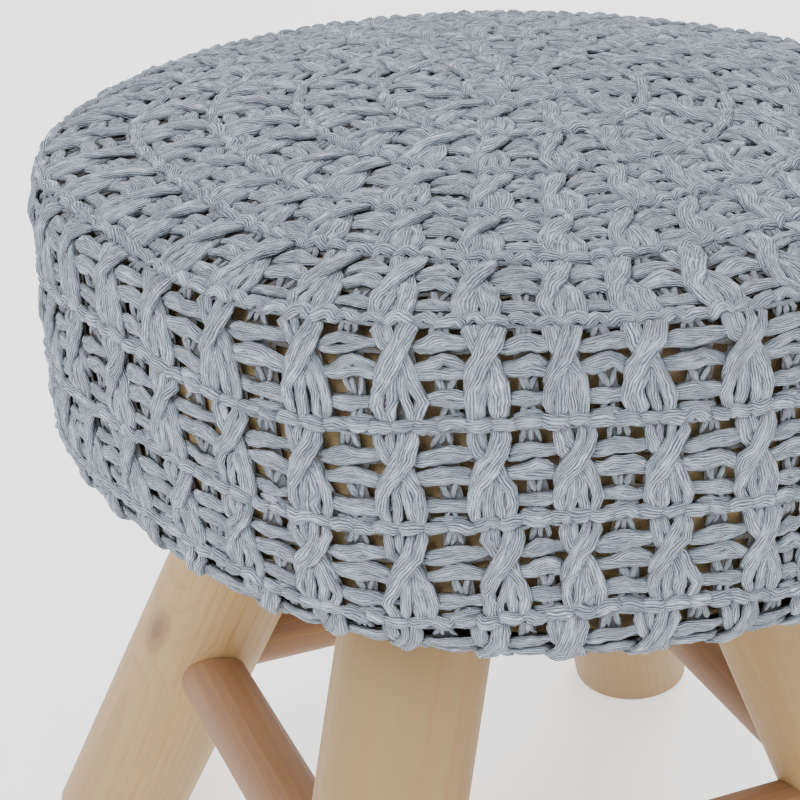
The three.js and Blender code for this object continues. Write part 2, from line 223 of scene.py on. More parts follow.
def colour_property(name, description, default):
    return bpy.props.FloatVectorProperty(
        name=name, description=description, default=default, subtype="COLOR", min=0, max=1)


class SeatSizes(bpy.types.PropertyGroup):
    """Sizes of the padded seat and its knit."""

    radius: length_property("Seat radius", "Radius of the cover's side at its ridges", 0.180)
    rim_height: length_property("Rim height", "Height of the rim's ridge over the floor", 0.361)
    crown: length_property("Crown", "Rise of the seat's middle over its rim", 0.019)
    ridge_pitch: length_property("Ridge pitch", "Distance between two ridges on the side", 0.034)
    top_pitch: length_property("Top ridge pitch", "Distance between two ridges on the top", 0.031)
    unevenness: bpy.props.FloatProperty(
        name="Unevenness", description="How far the yarns stray from their even places",
        default=1.0, min=0.0, max=3.0, subtype="FACTOR")


class WoodSizes(bpy.types.PropertyGroup):
    """Sizes of the legs, rails and board."""

    leg_radius: length_property("Leg radius", "Radius of a round leg", 0.0286)
    leg_splay: bpy.props.FloatProperty(
        name="Leg splay", description="Lean of a leg from upright",
        default=math.radians(25.1), subtype="ANGLE")
    axis_radius: length_property(
        "Leg axis radius", "Distance of a leg's axis from the seat's axis", 0.0868)
    axis_height: length_property("Leg axis height", "Height at which that distance is measured", 0.2364)
    rail_radius: length_property("Rail radius", "Radius of a rail", 0.0144)
    rail_height: length_property("Rail height", "Height of the rails' axes over the floor", 0.098)
    edge: length_property("Edge", "Eased edge of the feet and of the board", 0.002)


class Finishes(bpy.types.PropertyGroup):
    """Colours of the yarn, the casing, the wood and the studio."""

    yarn_light: colour_property("Yarn", "Colour of the yarn's strands", (0.52, 0.60, 0.70))
    # Painted shade: the dark colour that the grooves between the yarn's strands are painted with
    yarn_groove_shade: colour_property(
        "Yarn grooves", "Colour between the yarn's strands", (0.045, 0.065, 0.095))
    casing: colour_property("Casing", "Colour of the pad's casing", (0.37, 0.265, 0.135))
    pine_light: colour_property("Pine", "Colour of the pine between its rings", (0.375, 0.245, 0.105))
    pine_ring: colour_property("Pine rings", "Colour of the pine's rings", (0.285, 0.155, 0.058))
    knot: colour_property("Knots", "Colour of the knots", (0.17, 0.09, 0.045))
    # Painted shade: the rails' colour is the pine made darker and redder, as it looks in the shade under
    # the seat
    rail: colour_property("Rail wood", "Colour of the reddish rails", (0.205, 0.105, 0.055))
    floor: colour_property("Floor", "Colour of the studio's floor", (0.86, 0.86, 0.86))


class Seat:
    """The seat's surface, as places for an angle, a band and a lift. Band 0 is the rim's ridge,
    1 to 3 are the side's ridges and negative bands are the ridges on the top."""

    def __init__(self, sizes):
        self.sizes = sizes
        self.rim_radius = sizes.radius * RIM_RADIUS_SHARE
        self.centre_band = -self.rim_radius / sizes.top_pitch

    def profile(self, band):
        """Radius and height over the rim of the seat's section at a band."""
        size = self.sizes
        spread = TOP_SPREAD * np.sin(math.pi * np.clip(-band / 2, 0, 1))
        top_r = self.rim_radius + band * size.top_pitch - spread
        top_z = size.crown * (1 - (top_r / self.rim_radius) ** 2)
        bend = np.clip(band / SHOULDER_BAND, 0, 1) * math.pi / 2
        below = np.clip((band - SHOULDER_BAND) / (1 - SHOULDER_BAND), 0, 1)
        side_r = self.rim_radius + (size.radius - self.rim_radius) * np.sin(bend)
        side_z = (-SHOULDER_DROP * (1 - np.cos(bend)) - (size.ridge_pitch - SHOULDER_DROP) * below
                  - size.ridge_pitch * np.clip(band - 1, 0, None))
        turn = np.clip((band - SIDE_BANDS) / (CORNER_BAND - SIDE_BANDS), 0, 1) * math.pi / 2
        inward = np.clip((band - CORNER_BAND) / (LIP_BAND - CORNER_BAND), 0, None)
        corner_r = size.radius - CORNER_INSET * (1 - np.cos(turn))
        low_r = corner_r + (LIP_RADIUS - corner_r) * inward
        low_z = -SIDE_BANDS * size.ridge_pitch - CORNER_DROP * np.sin(turn)
        where = [band <= 0, band <= SIDE_BANDS]
        return (np.select(where, [top_r, side_r], low_r), np.select(where, [top_z, side_z], low_z))

    def profile_normal(self, band):
        step = 0.02
        r0, z0 = self.profile(np.maximum(band - step, self.centre_band))
        r1, z1 = self.profile(band + step)
        length = np.hypot(r1 - r0, z1 - z0)
        return (z0 - z1) / length, (r1 - r0) / length

    def band_wave(self, angle, band):
        fade = smoothstep(band, self.centre_band, 0)
        end = 1 - smoothstep(band, SIDE_BANDS, LIP_BAND)
        wave = sum(w["height"] * np.sin(w["turns"] * angle + w["phase"] + w["per_band"] * band)
                   for w in WAVES)
        return wave * fade * end / self.sizes.ridge_pitch

    def drawn_in(self, angle, band):
        away = np.degrees(angle) - DRAWN_IN["angle"]
        away = away - 360 * np.round(away / 360)
        start = smoothstep(band, DRAWN_IN["from_band"], DRAWN_IN["to_band"])
        end = 1 - smoothstep(band, CORNER_BAND, LIP_BAND)
        return DRAWN_IN["depth"] * np.exp(-(away / DRAWN_IN["width"]) ** 2) * start * end

    def low_lean(self, angle, band):
        start = smoothstep(band, LOW_LEAN["from_band"], CORNER_BAND)
        end = 1 - smoothstep(band, CORNER_BAND, LIP_BAND)
        return LOW_LEAN["drop"] * np.sin(angle - LOW_LEAN["angle"]) * start * end

    def place(self, angle, band, lift):
        """Points and outward normals of the surface, with x, y and z in the last axis."""
        at = np.clip(band + self.band_wave(angle, band), self.centre_band, LIP_BAND + 0.1)
        r, z = self.profile(at)
        normal_r, normal_z = self.profile_normal(at)
        r = np.maximum(0, r + normal_r * lift - self.drawn_in(angle, at))
        z = self.sizes.rim_height + z + normal_z * lift - self.low_lean(angle, at)
        across, along = np.sin(angle), -np.cos(angle)
        normal = np.stack([normal_r * across, normal_r * along, normal_z], -1)
        return np.stack([r * across, r * along, z], -1), normal

    def cover_cut(self):
        """Flat width, length and area of the cover: a tube of cells that narrows over the top."""
        band = np.linspace(self.centre_band, LIP_BAND, 400)
        r, z = self.profile(band)
        steps = np.hypot(np.diff(r), np.diff(z))
        area = float(np.sum(math.tau * (r[1:] + r[:-1]) / 2 * steps))
        return math.tau * self.sizes.radius, float(np.sum(steps)), area


class CellRing:
    """A ring of knit cells or of ridge stitches, below one ridge of the seat."""

    def __init__(self, seat, cells, band, height=1.0, full=1.0, closed=0.0):
        self.seat = seat
        self.cells = cells
        self.band = band
        self.height = height
        self.full = full
        self.closed = closed
        self.random = np.random.default_rng(RING_SEED + band)
        self.shifts = self.random.normal(0, CABLE_STRAY, cells) * seat.sizes.unevenness
        for cell, shift in CABLE_SHIFTS.get(band, {}).items():
            self.shifts[cell] = shift

    def place(self, cell, u, v, lift):
        band = self.band + self.height * v
        step = cell + u
        step = step + np.interp(step, np.arange(self.cells), self.shifts, period=self.cells)
        turn = FIRST_CABLE_ANGLE + TWIST_PER_BAND * band + 360 / self.cells * step
        return self.seat.place(np.radians(turn), band, lift)


def ridge_ring(seat, band):
    """The ring of the stitches that make the ridge at a band."""
    r = seat.profile(np.array([band], float))[0][0]
    return CellRing(seat, round(math.tau * r / STITCH_LENGTH), band)


def lip_ring(seat):
    """The ring of cells between the last ridge and the cover's lip."""
    return CellRing(seat, SIDE_CELLS, SIDE_BANDS + 1, height=LIP_BAND - SIDE_BANDS - 1)


def mesh_object(name, points, quads, triangles=None):
    """An object made of arrays of points and of faces."""
    triangles = np.zeros((0, 3), int) if triangles is None else triangles
    corners = np.concatenate([quads.ravel(), triangles.ravel()]).astype(np.int32)
    counts = np.concatenate([np.full(len(quads), 4), np.full(len(triangles), 3)])
    starts = np.concatenate([[0], np.cumsum(counts)[:-1]]).astype(np.int32)
    mesh = bpy.data.meshes.new(name)
    mesh.vertices.add(len(points))
    mesh.vertices.foreach_set("co", points.astype(np.float32).ravel())
    mesh.loops.add(len(corners))
    mesh.loops.foreach_set("vertex_index", corners)
    mesh.polygons.add(len(counts))
    mesh.polygons.foreach_set("loop_start", starts)
    mesh.polygons.foreach_set("use_smooth", np.ones(len(counts), bool))
    mesh.update(calc_edges=True)
    piece = bpy.data.objects.new(name, mesh)
    bpy.context.scene.collection.objects.link(piece)
    return piece


def spline_weights(count, steps):
    """Weights of a Catmull-Rom curve: a row for each step and a column for each of its points."""
    weights = np.zeros((steps + 1, count))
    for row, t in enumerate(np.linspace(0, count - 1, steps + 1)):
        first = min(int(t), count - 2)
        f = t - first
        basis = ((-f + 2 * f ** 2 - f ** 3) / 2, (2 - 5 * f ** 2 + 3 * f ** 3) / 2,
                 (f + 4 * f ** 2 - 3 * f ** 3) / 2, (f ** 3 - f ** 2) / 2)
        for offset, weight in zip((-1, 0, 1, 2), basis):
            weights[row, min(max(first + offset, 0), count - 1)] += weight
    return weights


def unit(vectors):
    return vectors / np.maximum(np.linalg.norm(vectors, axis=-1, keepdims=True), 1e-12)


class Yarns:
    """Gathers the yarns of whole rings of cells and makes them one mesh."""

    # How far a yarn's points stray in u, v and lift, how much yarns differ in thickness from one
    # another and along their length, and how deep their ribs are
    STRAY = (0.016, 0.013, 0.20)
    PLUMPNESS = 0.09
    LUMPS = 0.10
    RIB_DEPTH = 0.10
    # Share of the width at the ends and beside them, and how far the tips reach past the ends
    TAPER = (0.55, 0.9)
    TIP = 0.2

    def __init__(self, seed, unevenness):
        self.random = np.random.default_rng(seed)
        self.unevenness = unevenness
        self.points = []
        self.quads = []
        self.triangles = []
        self.quad_uvs = []
        self.triangle_uvs = []
        self.tints = []
        self.count = 0

    def lay(self, ring, points, width, thick, steps=8, sides=8, stray=1.0):
        """Lays the same yarn in every cell of a ring, each one a little differently."""
        chart = np.array(points, float)
        cells = ring.cells
        stray_by = stray * self.unevenness * np.array(self.STRAY)
        strays = self.random.normal(size=(cells, len(chart), 3)) * stray_by
        laid = spline_weights(len(chart), steps) @ (chart + strays)
        cell = np.arange(cells)[:, None]
        middle, normal = ring.place(cell, laid[..., 0], laid[..., 1], laid[..., 2] * MM)
        plump = ring.full * (1 + self.PLUMPNESS * self.unevenness * self.random.normal(size=(cells, 1)))
        plump = np.broadcast_to(plump, laid.shape[:2])
        self.tube(middle, normal, width * MM * plump, thick * MM * plump, sides)

    def tube(self, middle, normal, width, thick, sides):
        """A closed flattened tube along each row of points, ribbed by its bundles of singles."""
        count, steps = middle.shape[:2]
        along = unit(np.gradient(middle, axis=1))
        up = unit(normal - along * np.sum(normal * along, -1, keepdims=True))
        side = np.cross(along, up)
        taper = np.ones(steps)
        taper[[0, -1]] = self.TAPER[0]
        taper[[1, -2]] = self.TAPER[1]
        turn = np.arange(sides) * math.tau / sides
        rib = 1 - self.RIB_DEPTH * (np.arange(sides) % 2)
        reach = side[:, :, None] * (rib * np.cos(turn))[:, None] * (width * taper)[:, :, None, None] / 2
        rise = up[:, :, None] * (rib * np.sin(turn))[:, None] * (thick * taper)[:, :, None, None] / 2
        lumps = 1 + self.LUMPS * self.unevenness * self.random.normal(size=(count, steps, sides, 1))
        skin = middle[:, :, None] + (reach + rise) * lumps
        tips = middle[:, [0, -1]] + along[:, [0, -1]] * (
            np.array([-self.TIP, self.TIP])[:, None] * width[:, [0, -1], None])
        first = self.count + np.arange(count * steps * sides).reshape(count, steps, sides)
        tip = self.count + count * steps * sides + np.arange(count * 2).reshape(count, 2, 1)
        after = np.roll(first, -1, axis=2)
        quads = np.stack([first[:, :-1], first[:, 1:], after[:, 1:], after[:, :-1]], -1)
        tip = np.broadcast_to(tip, (count, 2, sides))
        starts = np.stack([tip[:, 0], first[:, 0], after[:, 0]], -1)
        ends = np.stack([tip[:, 1], after[:, -1], first[:, -1]], -1)
        self.points += [skin.reshape(-1, 3), tips.reshape(-1, 3)]
        self.quads.append(quads.reshape(-1, 4))
        self.triangles += [starts.reshape(-1, 3), ends.reshape(-1, 3)]
        self.count += count * steps * sides + count * 2

        spans = np.linalg.norm(np.diff(middle, axis=1), axis=-1)
        length = np.concatenate([np.zeros((count, 1)), np.cumsum(spans, 1)], 1) / MM
        length += self.random.uniform(0, 500, (count, 1))
        shift = self.random.uniform(0, 1, (count, 1, 1))
        u = shift + np.arange(sides + 1) / sides
        u = np.broadcast_to(u, (count, steps, sides + 1))
        v = np.broadcast_to(length[:, :, None], u.shape)
        uv = np.stack([u, v], -1)
        self.quad_uvs.append(np.stack([
            uv[:, :-1, :-1], uv[:, 1:, :-1], uv[:, 1:, 1:], uv[:, :-1, 1:]], -2).reshape(-1, 2))
        for row, order in ((0, (0, 0, 1)), (-1, (0, 1, 0))):
            near, far = uv[:, row, :-1], uv[:, row, 1:]
            self.triangle_uvs.append(np.stack(
                [(near, far)[pick] for pick in order], -2).reshape(-1, 2))
        tint = self.random.uniform(0, 1, (count, 1))
        self.tints += [np.repeat(tint, steps * sides, 1).ravel(), np.repeat(tint, 2, 1).ravel()]

    def piece(self, name):
        piece = mesh_object(name, np.concatenate(self.points), np.concatenate(self.quads),
                            np.concatenate(self.triangles))
        uvs = piece.data.uv_layers.new(name="yarn")
        corners = np.concatenate(self.quad_uvs + self.triangle_uvs)
        uvs.data.foreach_set("uv", corners.astype(np.float32).ravel())
        tint = piece.data.attributes.new("tint", "FLOAT", "POINT")
        tint.data.foreach_set("value", np.concatenate(self.tints).astype(np.float32))
        return piece


def lay_cells(yarns, ring):
    """The cables and purl columns of a ring of cells."""
    for yarn in CABLE_YARNS:
        yarns.lay(ring, yarn["points"], yarn["width"], yarn["thick"], sides=10)
    for yarn in PURL_YARNS:
        yarns.lay(ring, yarn["points"], yarn["width"], yarn["thick"], steps=7)
    end_lift, middle_lift = STRAND_LIFTS
    for top, foot, from_v, to_v in PURL_STRANDS:
        points = ((top, from_v, end_lift), ((top + foot) / 2, (from_v + to_v) / 2, middle_lift),
                  (foot, to_v, end_lift))
        yarns.lay(ring, points, **STRAND_YARN)


def lay_ridge(yarns, seat, ring):
    """The stitches of the ridge at a ring's upper edge, and the thin line of yarn under them."""
    yarns.lay(ridge_ring(seat, ring.band), RIDGE_STITCH, **RIDGE_YARN)
    past = THREAD_LINE["overlap"]
    line = [(u, THREAD_LINE["v"] + THREAD_LINE["sway"] * math.cos(4 * math.tau * u), THREAD_LINE["lift"])
            for u in np.linspace(-past, 1 + past, THREAD_LINE["points"])]
    yarns.lay(ring, line, **THREAD_YARN)


class Shader:
    """The nodes of one material, added by calls and by sums on their sockets."""

    def __init__(self, name):
        self.material = bpy.data.materials.new(name)
        self.material.use_nodes = True
        self.tree = self.material.node_tree
        self.tree.nodes.clear()

    def node(self, kind, settings=None, values=(), output=0):
        """Adds a node, sets it up, then gives its sockets numbers, colours or links."""
        node = self.tree.nodes.new(kind)
        for key, value in (settings or {}).items():
            setattr(node, key, value)
        for key, value in (values.items() if isinstance(values, dict) else enumerate(values)):
            if isinstance(value, Field):
                self.tree.links.new(value.socket, node.inputs[key])
            else:
                node.inputs[key].default_value = value
        return Field(self, node.outputs[output])

    def mix(self, share, first, second):
        values = {0: share, 6: first, 7: second}
        return self.node("ShaderNodeMix", {"data_type": "RGBA"}, values, output=2)

    def parts(self, vector):
        """The x, y and z of a vector."""
        split = self.node("ShaderNodeSeparateXYZ", None, [vector])
        outputs = split.socket.node.outputs
        return [Field(self, outputs[i]) for i in range(3)]

    def vector(self, x, y, z=0.0):
        return self.node("ShaderNodeCombineXYZ", None, [x, y, z])

    def noise(self, vector, scale, detail=2.0, roughness=0.5):
        values = {"Vector": vector, "Scale": scale, "Detail": detail, "Roughness": roughness}
        return self.node("ShaderNodeTexNoise", None, values)

    def object_place(self):
        return self.node("ShaderNodeTexCoord", None, (), output="Object")

    def bump(self, height, distance):
        return self.node("ShaderNodeBump", None, {"Distance": distance, "Height": height})

    def finish(self, values):
        """Ends the material with a Principled BSDF with these values and links."""
        surface = self.node("ShaderNodeBsdfPrincipled", None, values)
        output = self.tree.nodes.new("ShaderNodeOutputMaterial")
        self.tree.links.new(surface.socket, output.inputs["Surface"])
        return self.material


class Field:
    """A shader socket that takes part in sums with numbers and other sockets."""

    def __init__(self, shader, socket):
        self.shader = shader
        self.socket = socket

    def math(self, operation, *values):
        return self.shader.node("ShaderNodeMath", {"operation": operation}, values)

    def __add__(self, other):
        return self.math("ADD", self, other)

    def __radd__(self, other):
        return self.math("ADD", other, self)

    def __sub__(self, other):
        return self.math("SUBTRACT", self, other)

    def __rsub__(self, other):
        return self.math("SUBTRACT", other, self)

    def __mul__(self, other):
        return self.math("MULTIPLY", self, other)

    def __rmul__(self, other):
        return self.math("MULTIPLY", other, self)

    def __truediv__(self, other):
        return self.math("DIVIDE", self, other)

    def __pow__(self, other):
        return self.math("POWER", self, other)

    def size(self):
        return self.math("ABSOLUTE", self)

    def between(self, low, high):
        """0 where the field is at low and 1 where it is at high, smooth between them."""
        values = {0: self, 1: low, 2: high}
        return self.shader.node("ShaderNodeMapRange", {"interpolation_type": "SMOOTHSTEP"}, values)


def opaque(colour):
    return (*colour, 1.0)


def darker(colour, share):
    return opaque([channel * share for channel in colour])


def yarn_material(colours):
    """Flat cotton yarn of fine singles side by side, light on top, with painted shade in the deep
    grooves between them.
    """
    shader = Shader("knit_yarn")
    singles = 14
    around, along, _ = shader.parts(shader.node("ShaderNodeUVMap", {"uv_map": "yarn"}))
    tint = shader.node("ShaderNodeAttribute", {"attribute_name": "tint"}, (), output="Fac")
    drift = shader.noise(shader.vector(around * 2.0, along * 0.10, tint * 40.0), 1.0)
    lie = around + 0.24 * drift + 0.004 * along
    count = lie * singles
    single = count.math("FLOOR", count)
    # edge marks the grooves between the singles. They are darkened towards the groove colour as painted
    # shade, more where deep is high
    edge = (2.0 * count.math("FRACT", count) - 1.0).size().between(0.1, 0.95)
    own = shader.node("ShaderNodeTexWhiteNoise", {"noise_dimensions": "2D"},
                      {"Vector": shader.vector(single, tint * 50.0)})
    deep = shader.noise(shader.vector(single * 0.61, along * 0.17, tint * 70.0), 1.0).between(0.3, 0.6)
    groups = shader.noise(shader.vector(lie * 5.0, along * 0.09, tint * 60.0), 1.0).between(0.33, 0.55)
    fibres = shader.noise(shader.vector(lie * 60.0, along * 0.6, tint * 20.0), 1.0, detail=3.0)
    tone = (1.0 - edge * (0.3 + 0.7 * deep)) * (0.6 + 0.4 * own) * (0.55 + 0.45 * groups)
    tone = 1.15 * tone + 0.9 * (fibres - 0.5)
    patches = shader.noise(shader.object_place(), 18.0)
    light = shader.mix((tint - 0.5) * 0.5 + patches, darker(colours.yarn_light, 0.92),
                       darker(colours.yarn_light, 1.08))
    # Low tone gives the painted groove shade, high tone the yarn's own colour
    colour = shader.mix(tone, opaque(colours.yarn_groove_shade), light)
    return shader.finish({
        "Base Color": colour, "Roughness": 0.92, "Specular IOR Level": 0.2,
        "Sheen Weight": 0.2, "Sheen Roughness": 0.6,
        "Normal": shader.bump(tone, 0.0011)})


def cloth_material(colours):
    """The backs of the stitches, coloured with painted shade: the dark brownish grey that the casing and
    yarn take in the shade behind the front ones.
    """
    shader = Shader("knit_backs_painted_shade")
    place = shader.object_place()
    fibres = shader.noise(place, 900.0, detail=3.0)
    loops = shader.noise(place, 240.0)
    height = 0.6 * loops + 0.4 * fibres
    # Painted shade: the casing's and the yarn's colours scaled far down
    colour = shader.mix(height.between(0.3, 0.7), darker(colours.casing, 0.14),
                        darker(colours.yarn_light, 0.2))
    return shader.finish({
        "Base Color": colour, "Roughness": 0.95, "Specular IOR Level": 0.2,
        "Normal": shader.bump(height, 0.0006)})


def casing_material(colours):
    """Plain tan cloth with a fine felted weave."""
    shader = Shader("casing_cloth")
    place = shader.object_place()
    threads = shader.noise(place, 1500.0)
    felt = shader.noise(place, 260.0, detail=4.0, roughness=0.6)
    cloud = shader.noise(place, 25.0)
    tone = 0.5 * threads + 0.5 * felt
    colour = shader.mix(tone.between(0.35, 0.65), darker(colours.casing, 0.78),
                        darker(colours.casing, 1.15))
    colour = shader.mix(cloud * 0.35, colour, darker(colours.casing, 0.8))
    return shader.finish({
        "Base Color": colour, "Roughness": 0.9, "Specular IOR Level": 0.25,
        "Normal": shader.bump(tone, 0.0004)})


# Painted shade of each leg as a share of the pine's colour, lower for the legs that stand in more shade,
# and the place of its pith in its section
LEG_PAINTED_SHADES = (0.96, 0.74, 0.95, 0.78)
LEG_PITHS = ((0.05, -0.03), (-0.02, 0.06), (0.05, 0.02), (-0.04, -0.04))
# Knots and dark streaks of each leg: place across, towards the seat's middle and up along the leg's
# axis, and size, all in millimetres. The leg's axis starts at the floor.
LEG_KNOTS = {
    "leg_1": (
        {"place": (25, -14, 127), "size": (9, 9, 16), "dark": 1.25},
        {"place": (23, 17, 145), "size": (2, 2, 26), "dark": 0.45},
        {"place": (26, 14, 117), "size": (4, 4, 10), "dark": 0.7},
    ),
    "leg_2": ({"place": (-10, -27, 90), "size": (6, 6, 9), "dark": 0.8},),
    "leg_3": ({"place": (12, -26, 60), "size": (7, 7, 11), "dark": 0.9},),
    "leg_4": ({"place": (-26, 8, 150), "size": (6, 6, 10), "dark": 0.9},),
}


def leg_axis(wood, angle, height):
    """A point of a leg's axis."""
    r = wood.axis_radius + math.tan(wood.leg_splay) * (wood.axis_height - height)
    return Vector((r * math.sin(angle), -r * math.cos(angle), height))


def pole_turn(axis, across):
    """Turn that lays z along a pole's axis and x across it."""
    z = axis.normalized()
    x = (across - z * across.dot(z)).normalized()
    return Matrix((x, z.cross(x), z)).transposed()


def wood_material(name, colours, light, start, turn, knots=(), pith=(0.045, -0.03), seed=0.0):
    """Sanded pine, its rings and knots laid out along the pole that starts at start."""
    shader = Shader(name)
    values = {"Vector": shader.object_place(), "Location": start, "Rotation": turn.to_euler()}
    local = shader.node("ShaderNodeMapping", {"vector_type": "TEXTURE"}, values)
    x, y, z = shader.parts(local)
    sway = shader.noise(shader.vector(x * 12.0, y * 12.0, z * 5.0 + seed), 1.0, detail=3.0)
    rings = ((x - pith[0]) ** 2.0 + (y - pith[1]) ** 2.0) ** 0.5 + 0.012 * sway + 0.02 * z
    knot_shade = 0.0
    for knot in knots:
        centre = [value * MM for value in knot["place"]]
        size = [value * MM for value in knot["size"]]
        gone = sum(((axis - middle) / reach) ** 2.0
                   for axis, middle, reach in zip((x, y, z), centre, size)) ** 0.5
        gone = gone + 0.3 * shader.noise(local, 90.0) - 0.15
        rings = rings + 0.006 * (1.0 - gone.between(0.9, 2.4))
        core = 1.0 - gone.between(0.0, 0.6)
        body = 1.0 - gone.between(0.6, 1.1)
        knot_shade = knot_shade + (0.5 * core + 0.45 * body) * knot["dark"]
    phase = rings / 0.0042
    saw = phase.math("FRACT", phase)
    late = saw ** 3.0 * (1.0 - saw.between(0.9, 1.0))
    grain = shader.noise(shader.vector(x * 900.0, y * 900.0, z * 28.0 + seed), 1.0, detail=3.0)
    streaks = shader.noise(shader.vector(x * 130.0, y * 130.0, z * 6.0 + seed), 1.0)
    clouds = shader.noise(shader.vector(x * 25.0, y * 25.0, z * 9.0 + seed), 1.0)
    tone = 0.55 * late + 0.35 * grain.between(0.35, 0.75) + 0.45 * streaks.between(0.45, 0.8)
    colour = shader.mix(tone, opaque(light), opaque(colours.pine_ring))
    colour = shader.mix(0.6 * clouds.between(0.35, 0.75), colour, darker(light, 0.86))
    if knots:
        colour = shader.mix(knot_shade.between(0.0, 1.1), colour, opaque(colours.knot))
    rough = 0.48 + 0.12 * grain
    return shader.finish({
        "Base Color": colour, "Roughness": rough, "Specular IOR Level": 0.35,
        "Normal": shader.bump(0.6 * grain + 0.5 * late, 0.00022)})


def floor_material(colours):
    """Matt pale studio floor with a faint uneven tone."""
    shader = Shader("studio_floor")
    cloud = shader.noise(shader.object_place(), 3.0)
    colour = shader.mix(cloud, darker(colours.floor, 0.985), opaque(colours.floor))
    return shader.finish({"Base Color": colour, "Roughness": 0.9,
                          "Emission Color": opaque(colours.floor), "Emission Strength": 1.0})


def deselect():
    bpy.ops.object.select_all(action="DESELECT")


def make_active(piece):
    deselect()
    piece.select_set(True)
    bpy.context.view_layer.objects.active = piece


def apply_modifier(piece, kind, **settings):
    """Gives a piece a modifier and applies it."""
    make_active(piece)
    modifier = piece.modifiers.new(kind.title(), kind)
    for key, value in settings.items():
        setattr(modifier, key, value)
    bpy.ops.object.modifier_apply(modifier=modifier.name)


def clothe(piece, material):
    piece.data.materials.clear()
    piece.data.materials.append(material)


def coordinates(piece):
    points = np.empty(len(piece.data.vertices) * 3, np.float32)
    piece.data.vertices.foreach_get("co", points)
    return points.reshape(-1, 3).astype(float)


def set_coordinates(piece, points):
    piece.data.vertices.foreach_set("co", points.astype(np.float32).ravel())
    piece.data.update()


def pole(name, start, end, radius, sides):
    """A round pole between two points, modelled at its place with its object at the origin."""
    deselect()
    axis = end - start
    turn = axis.to_track_quat("Z", "Y").to_euler()
    bpy.ops.mesh.primitive_cylinder_add(
        vertices=sides, radius=radius, depth=axis.length, location=(start + end) / 2, rotation=turn)
    piece = bpy.context.object
    piece.name = name
    bpy.ops.object.transform_apply(location=True, rotation=True, scale=True)
    return piece


def cut_level(piece, height, keep_below):
    """Cuts a piece level at a height and closes the cut."""
    make_active(piece)
    bpy.ops.object.mode_set(mode="EDIT")
    bpy.ops.mesh.select_all(action="SELECT")
    bpy.ops.mesh.bisect(
        plane_co=(0, 0, height), plane_no=(0, 0, 1), use_fill=True,
        clear_outer=keep_below, clear_inner=not keep_below)
    bpy.ops.object.mode_set(mode="OBJECT")


def ease_edges(piece, height, width):
    """Rounds the edges of a piece that lie at a height."""
    mesh = piece.data
    make_active(piece)
    for part in (mesh.vertices, mesh.edges, mesh.polygons):
        part.foreach_set("select", np.zeros(len(part), bool))
    for edge in mesh.edges:
        ends = [mesh.vertices[i].co.z for i in edge.vertices]
        edge.select = all(abs(z - height) < 1e-5 for z in ends)
    bpy.ops.object.mode_set(mode="EDIT")
    bpy.ops.mesh.select_mode(type="EDGE")
    bpy.ops.mesh.bevel(offset=width, segments=3, affect="EDGES")
    bpy.ops.object.mode_set(mode="OBJECT")


def smooth(piece, degrees=35):
    make_active(piece)
    bpy.ops.object.shade_smooth_by_angle(angle=math.radians(degrees))


def dress(piece, material, slot, *nodes):
    """Gives a finished piece its material, attaches it to the body and hides the CAD nodes that it
    stands for. The slot is not used.
    """
    clothe(piece, material)
    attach(piece, BODY)
    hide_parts(*nodes)


class STOOL_OT_casing(bpy.types.Operator):
    """Add the filled pad in its tan casing"""

    bl_idname = "stool.casing"
    bl_label = "Casing"

    VOXEL_SIZE = 0.008
    SWELL = CASING_LIFT + PAD_INSET
    SWELL_FRAMES = 20

    def execute(self, context):
        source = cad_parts["seat_pad"]
        piece = bpy.data.objects.new("casing", source.data.copy())
        context.scene.collection.objects.link(piece)
        make_active(piece)
        bpy.ops.object.mode_set(mode="EDIT")
        bpy.ops.mesh.select_all(action="SELECT")
        bpy.ops.mesh.remove_doubles(threshold=1e-5)
        bpy.ops.object.mode_set(mode="OBJECT")
        apply_modifier(piece, "REMESH", mode="VOXEL", voxel_size=self.VOXEL_SIZE)
        self.swell(context, piece)
        apply_modifier(piece, "SUBSURF", levels=1, render_levels=1)
        self.seat_on_board(piece)
        smooth(piece, 60)
        dress(piece, casing_material(context.scene.finishes), "casing", "seat_pad")
        return {"FINISHED"}

    def seat_on_board(self, piece):
        """Keeps the casing over the board, where it lies on it."""
        points = coordinates(piece)
        inside = np.hypot(points[:, 0], points[:, 1]) < LIP_RADIUS
        points[inside, 2] = np.maximum(points[inside, 2], BOARD_HIGH.z + SEAT_GAP)
        set_coordinates(piece, points)

    def swell(self, context, piece):
        """Lets the filling press the casing out, by no more than the knit's backs leave room for."""
        rest = coordinates(piece)
        make_active(piece)
        cloth = piece.modifiers.new("Cloth", "CLOTH")
        cloth.settings.quality = 5
        cloth.settings.mass = 0.2
        cloth.settings.use_pressure = True
        cloth.settings.uniform_pressure_force = 4
        cloth.settings.effector_weights.gravity = 0
        for step in range(1, self.SWELL_FRAMES + 1):
            context.scene.frame_set(step)
        bpy.ops.object.modifier_apply(modifier=cloth.name)
        context.scene.frame_set(1)
        moved = coordinates(piece) - rest
        length = np.linalg.norm(moved, axis=1, keepdims=True)
        moved *= np.minimum(1, self.SWELL / np.maximum(length, 1e-9))
        set_coordinates(piece, rest + moved)


class STOOL_OT_side_knit(bpy.types.Operator):
    """Add the three rings of cable cells on the cover's side"""

    bl_idname = "stool.side_knit"
    bl_label = "Side knit"

    def execute(self, context):
        sizes = context.scene.seat_sizes
        seat = Seat(sizes)
        material = shared_material("knit_yarn", yarn_material)
        for band in range(SIDE_BANDS):
            yarns = Yarns(seed=11 + band, unevenness=sizes.unevenness)
            ring = CellRing(seat, SIDE_CELLS, band)
            lay_cells(yarns, ring)
            lay_ridge(yarns, seat, ring)
            dress(yarns.piece(f"knit_side_{band + 1}"), material, "yarn", "knit_cover")
        return {"FINISHED"}


